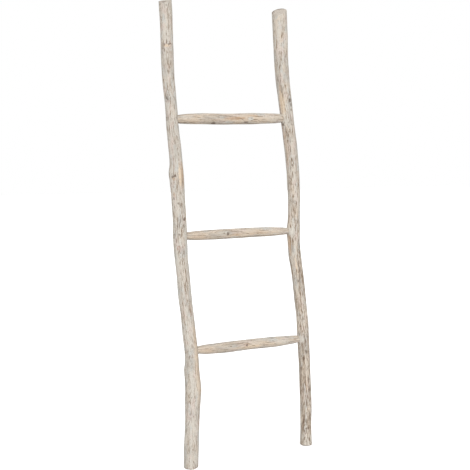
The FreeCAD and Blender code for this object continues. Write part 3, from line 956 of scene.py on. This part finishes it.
def whitewashed_wood(name):
    """Rough wood under a rubbed coat of thin white paint."""
    shader = Shader(name)
    place = shader.grain()
    streak = shader.noise(place, 2.3, 17, 3, 0.6, 7.7)
    fine = shader.noise(place, 0.8, 4, 3, 0.6, 1.3)
    cover = paint_cover(shader, place, streak, fine)
    bare = shader.mix(shader.step(streak, 0.36, 0.56), BARE, THIN_WASH)
    skin = shader.mix(cover, bare, tinted_wash(shader, place))
    patch = shader.noise(place, 30, 110, 2, 0.5, 9.2)
    skin = shader.mix(shader.step(patch, 0.5, 0.7, 0, 0.4), skin, GREY)
    speck = shader.noise(place, 1.1, 2.4, 2, 0.6, 8.1)
    skin = shader.mix(shader.step(speck, 0.5, 0.7, 0, 0.45), skin, BARE)
    skin = shader.mix(shader.attribute("end"), skin, end_grain(shader, place, fine))
    skin = lay_marks(shader, skin, streak, fine)
    # A dark grey-brown line along the sawn edges, broken into patches by noise.
    rim_patches = shader.step(shader.noise(place, 6, 6, 3, 0.6, 2.2), 0.44, 0.6, 0.15, 0.85)
    skin = shader.mix(shader.math("MULTIPLY", shader.attribute("rim"), rim_patches), skin, RIM)
    shader.feed(shader.surface.inputs["Base Color"], skin)
    shader.feed(shader.surface.inputs["Roughness"], shader.step(cover, 0, 1, 0.66, 0.82))
    shader.surface.inputs["Specular IOR Level"].default_value = 0.25
    shader.bump(shader.math("ADD", streak, shader.math("MULTIPLY", fine, 0.5)), 0.35 * MM)
    return shader.material


def paint_cover(shader, place, streak, fine):
    """How well the paint covers: thin in streaks, and gone in pits and drawn-out lines."""
    blotch = shader.noise(place, 12, 50, 2, 0.5, 3.1)
    drawn = shader.noise(place, 1.9, 85, 2, 0.5, 6.3)
    line = shader.math("SUBTRACT", shader.noise(place, 3.4, 120, 2, 0.5, 10.9), 0.5)
    lined = shader.attribute("lined")
    cover = shader.attribute("wash")
    for part, weight in ((blotch, 0.28), (drawn, 0.65), (streak, 0.85), (fine, 0.5), (line, lined)):
        cover = shader.math("ADD", cover, shader.math("MULTIPLY", part, weight))
    return shader.step(cover, 0.935, 1.195)


def tinted_wash(shader, place):
    """The paint's own colour, which drifts between cool, warm and pink."""
    drift = shader.math("SUBTRACT", shader.noise(place, 16, 48, 3, 0.6, 12.7), 0.5)
    warm = shader.math("MULTIPLY", drift, 2.6)
    warm = shader.math("ADD", warm, shader.attribute("warm"), clamp=True)
    wash = shader.mix(warm, WASH, WARM_WASH)
    cool = shader.noise(place, 14, 40, 2, 0.5, 15.2)
    wash = shader.mix(shader.step(cool, 0.5, 0.66, 0, 0.7), wash, COOL_WASH)
    pink = shader.noise(place, 15, 36, 2, 0.5, 18.4)
    return shader.mix(shader.step(pink, 0.52, 0.66, 0, 0.6), wash, PINK_WASH)


def lay_marks(shader, skin, streak, fine):
    """Lay the branch's own marks and its brown pits over the painted skin."""
    place = shader.grain()
    tan = shader.math("MULTIPLY", shader.attribute("tan"), shader.step(streak, 0.3, 0.6, 1, 0.55))
    skin = shader.mix(tan, skin, TAN)
    peach = shader.step(streak, 0.35, 0.6, 0.6, 1)
    skin = shader.mix(shader.math("MULTIPLY", shader.attribute("peach"), peach), skin, PEACH)
    skin = shader.mix(shader.attribute("rust"), skin, RUST)
    skin = shader.mix(shader.attribute("white"), skin, FILLER)
    pit = shader.noise(place, 2.5, 18, 2, 0.5, 21.3)
    pit = shader.math("ADD", pit, shader.math("MULTIPLY", shader.attribute("pitted"), 0.1))
    skin = shader.mix(shader.step(pit, 0.665, 0.725, 0, 0.8), skin, PIT_BROWN)
    dark = shader.math("MULTIPLY", shader.attribute("dark"), shader.step(fine, 0.25, 0.6, 1.1, 0.7))
    return shader.mix(dark, skin, BROWN)


def end_grain(shader, place, fine):
    """Growth rings and rubbed paint on a sawn end."""
    parts = shader.tree.nodes.new("ShaderNodeSeparateXYZ")
    shader.feed(parts.inputs[0], place)
    square = shader.math("MULTIPLY", parts.outputs[0], parts.outputs[0])
    other = shader.math("MULTIPLY", parts.outputs[1], parts.outputs[1])
    reach = shader.math("SQRT", shader.math("ADD", square, other))
    wander = shader.math("MULTIPLY", shader.noise(place, 9, 9, 2, 0.5, 4.4), 2.2 * MM)
    turns = shader.math("MULTIPLY", shader.math("ADD", reach, wander), 2 * math.pi / (1.9 * MM))
    rings = shader.step(shader.math("SINE", turns), -0.2, 0.95, 0, 0.55)
    ringed = shader.mix(rings, END_PALE, END_DARK)
    specks = shader.step(shader.noise(place, 4.4, 4.4, 3, 0.7, 5.9), 0.5, 0.62, 0, 0.9)
    ringed = shader.mix(specks, ringed, END_DARK)
    return shader.mix(shader.step(fine, 0.35, 0.65, 0.2, 0.8), ringed, WASH)


def zinc_steel():
    """Plated steel of the screws inside the joints."""
    shader = Shader("zinc_steel")
    place = shader.tree.nodes.new("ShaderNodeTexCoord").outputs["Object"]
    cloud = shader.noise(place, 1.5, 1.5, 3, 0.6)
    tone = shader.mix(cloud, colour(150, 152, 156), colour(186, 186, 182))
    shader.feed(shader.surface.inputs["Base Color"], tone)
    shader.surface.inputs["Metallic"].default_value = 1
    shader.feed(shader.surface.inputs["Roughness"], shader.step(cloud, 0.3, 0.7, 0.28, 0.45))
    shader.bump(cloud, 0.02 * MM)
    return shader.material


# ---------------------------------------------------------------- pieces


def show(mesh, name, node, material):
    """Put a finished mesh in the scene in place of its CAD node."""
    piece = bpy.data.objects.new(name, mesh)
    bpy.context.scene.collection.objects.link(piece)
    mesh.materials.append(material)
    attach(piece, "root")
    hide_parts(node)
    return piece


def joint_places(rail):
    """Height of each joint on a rail and the bearing of its plug, from the CAD plugs."""
    side = rail.node.split("_")[1]
    places = {}
    for level in ("top", "middle", "bottom"):
        node = f"screw_plug_{level}_{side}"
        low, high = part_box(node)
        centre = (low + high) / 2
        axis = rail.centre(np.array(centre.z))
        bearing = math.atan2(centre.x - axis[0], -(centre.y - axis[1]))
        places[node] = (centre.z, bearing)
    return places


def build_plug_mesh(rail, node, at, middle):
    """A round wooden plug, slightly domed, set in its dish in the rail."""
    rings = 7
    sides = 40
    turn = np.arange(sides) * 2 * math.pi / sides
    top = float(rail.radius(np.array(at))) - PLUG_SINK
    levels = []
    for step in range(rings + 1):
        share = max(step, 0.02) / rings
        levels.append((PLUG_RADIUS * share, top + PLUG_DOME * (1 - share**4)))
    levels.append((PLUG_RADIUS, top - 0.5 * PLUG_DISH))
    levels.append((PLUG_RADIUS, top - 4.4 * MM))
    points = []
    grain = []
    for reach, height in levels:
        gap = reach * np.cos(turn)
        aside = reach * np.sin(turn)
        direction = rail.across(np.full(sides, middle))
        sideways = rail.across(np.full(sides, middle + math.pi / 2))
        bow = aside**2 / (2 * top)
        place = rail.centre(at + gap) + direction * (height - bow)[:, None]
        points.append(place + sideways * aside[:, None])
        grain.append(np.stack([gap * 0 + 0.3 + at, aside, gap], axis=-1))
    return plug_mesh(node, np.array(points), np.array(grain), sides)


def plug_mesh(name, points, grain, sides):
    """Join a plug's rings into a mesh that is open only where it sits in the rail."""
    count = len(points)
    faces = []
    for row in range(count - 1):
        for side in range(sides):
            after = (side + 1) % sides
            low = row * sides
            faces.append((low + side, low + sides + side, low + sides + after, low + after))
    faces.append(tuple(range((count - 1) * sides, count * sides)))
    faces.append(tuple(reversed(range(sides))))
    mesh = bpy.data.meshes.new(name + "_shown")
    mesh.from_pydata(points.reshape(-1, 3).tolist(), [], faces)
    mesh.shade_smooth()
    store_grain(mesh, grain)
    for mask, value in PLUG_MASKS.items():
        store_mask(mesh, mask, np.full(count * sides, value))
    mesh.update()
    return mesh


def fillet_marks(plugs):
    """Filler in the corner under each rung's end on the right rail, level with its plug."""
    marks = []
    for level, bearing, length, width, lift, white in FILLETS:
        at = plugs[f"screw_plug_{level}_right"][0] / MM
        marks.append(("bump", at, bearing, length, width, lift))
        marks.append(("white", at, bearing + 8, 0.9 * length, width, 0, white))
    return marks


def strewn_marks(seed, low, high):
    """Small knots and drawn-out stains strewn over a branch's unseen side."""
    chance = np.random.default_rng(seed)
    marks = []
    for number in range(STREWN_KNOTS + STREWN_STAINS):
        at = chance.uniform(low, high) / MM
        bearing = chance.uniform(*STREWN_BEARINGS)
        size = chance.uniform(2, 4.5)
        if number < STREWN_KNOTS:
            marks.append(("dark", at, bearing, 1.6 * size, size, -0.7, 0.6))
        else:
            marks.append(("tan", at, bearing, 14 * size, size, 0.2, 0.5))
    return marks


def build_rails(material, plug_material):
    """The two rails and the plugs on their outer sides."""
    for node, style in RAIL_STYLE.items():
        rail = Branch(node, 2, style, MARKS[node], 0, (5 * MM, 45 * MM))
        plugs = joint_places(rail)
        rail.holes = list(plugs.values())
        if node == "rail_right":
            rail.marks += fillet_marks(plugs)
        rail.marks += strewn_marks(style["seed"], rail.low.z, rail.high.z)
        rings = stack_rings(rail, 0.0, cut_plane(node), (1.6 * MM, 0.4 * MM))
        mesh = build_branch_mesh(node + "_skin", rings, 3)
        show(mesh, node + "_branch", node, material)
        for plug, (at, middle) in plugs.items():
            mesh = build_plug_mesh(rail, plug, at, middle)
            show(mesh, plug + "_painted", plug, plug_material)


def build_rungs(material):
    """The three rungs, which run on into the rails as tenons."""
    for node, style in RUNG_STYLE.items():
        rung = Branch(node, 0, style, MARKS[node], 10.5 * MM, (1 * MM, 1 * MM))
        low = float(rung.steps[0]) - 9 * MM
        high = float(rung.steps[-1]) + 9 * MM
        rings = stack_rings(rung, low, high, (1 * MM, 1 * MM))
        mesh = build_branch_mesh(node + "_skin", rings, 2)
        show(mesh, node + "_branch", node, material)


def finish_screws(material):
    """Give the CAD screws their plated steel."""
    for name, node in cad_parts.items():
        if name.startswith("joint_screw"):
            node.data.materials.clear()
            node.data.materials.append(material)


# ---------------------------------------------------------------- stage


def add_floor():
    """A plain pale floor that runs out to the sky on every side."""
    mesh = bpy.data.meshes.new("floor")
    half = FLOOR_SIZE / 2
    corners = [(-half, -half, 0), (half, -half, 0), (half, half, 0), (-half, half, 0)]
    mesh.from_pydata(corners, [], [(0, 1, 2, 3)])
    floor = bpy.data.objects.new("floor", mesh)
    bpy.context.scene.collection.objects.link(floor)
    shader = Shader("pale_floor")
    seen = shader.tree.nodes.new("ShaderNodeLightPath").outputs["Is Camera Ray"]
    bounce = (FLOOR_BOUNCE, FLOOR_BOUNCE, FLOOR_BOUNCE, 1)
    tone = shader.mix(seen, bounce, (FLOOR_SEEN, FLOOR_SEEN, FLOOR_SEEN, 1))
    shader.feed(shader.surface.inputs["Base Color"], tone)
    shader.surface.inputs["Roughness"].default_value = 0.9
    shader.surface.inputs["Specular IOR Level"].default_value = 0.1
    shader.surface.inputs["Emission Color"].default_value = (1, 1, 1, 1)
    glow = shader.math("MULTIPLY", seen, FLOOR_GLOW)
    shader.feed(shader.surface.inputs["Emission Strength"], glow)
    mesh.materials.append(shader.material)


def looking_down(bearing, tilt):
    """The direction from so far round to the left of the front, tilted down."""
    level = math.cos(tilt)
    return Vector((math.sin(bearing) * level, math.cos(bearing) * level, -math.sin(tilt)))


def aim(data, direction):
    """Put a lamp or a camera in the scene, facing this way."""
    holder = bpy.data.objects.new(data.name, data)
    holder.rotation_euler = direction.to_track_quat("-Z", "Y").to_euler()
    bpy.context.scene.collection.objects.link(holder)
    return holder


def light_scene():
    """A white sky, dimmer as a light than it looks, and one wide soft lamp."""
    world = bpy.data.worlds.new("studio")
    bpy.context.scene.world = world
    world.use_nodes = True
    tree = world.node_tree
    tree.nodes.clear()
    path = tree.nodes.new("ShaderNodeLightPath")
    strength = tree.nodes.new("ShaderNodeMapRange")
    strength.inputs["To Min"].default_value = SKY_STRENGTH
    strength.inputs["To Max"].default_value = 1
    sky = tree.nodes.new("ShaderNodeBackground")
    sky.inputs["Color"].default_value = (1, 1, 1, 1)
    output = tree.nodes.new("ShaderNodeOutputWorld")
    tree.links.new(path.outputs["Is Camera Ray"], strength.inputs["Value"])
    tree.links.new(strength.outputs["Result"], sky.inputs["Strength"])
    tree.links.new(sky.outputs[0], output.inputs["Surface"])
    lamp = bpy.data.lights.new("lamp", "SUN")
    lamp.energy = LAMP_STRENGTH
    lamp.angle = LAMP_WIDTH
    aim(lamp, looking_down(LAMP_BEARING, LAMP_HEIGHT))


def place_camera():
    """Stand the camera in front and to the left, at about chest height."""
    camera = bpy.data.cameras.new("camera")
    camera.sensor_width = SENSOR_WIDTH
    camera.lens = FOCAL_LENGTH
    direction = looking_down(CAMERA_BEARING, CAMERA_TILT)
    focus = (cad_low + cad_high) / 2 + Vector(CAMERA_FOCUS)
    holder = aim(camera, direction)
    holder.location = focus - direction * CAMERA_DISTANCE
    bpy.context.scene.camera = holder


branch_wood = whitewashed_wood("whitewashed_branch")
build_rails(branch_wood, whitewashed_wood("painted_plug"))
build_rungs(branch_wood)
finish_screws(zinc_steel())
add_floor()
light_scene()
place_camera()
bpy.context.scene.view_settings.view_transform = "Standard"
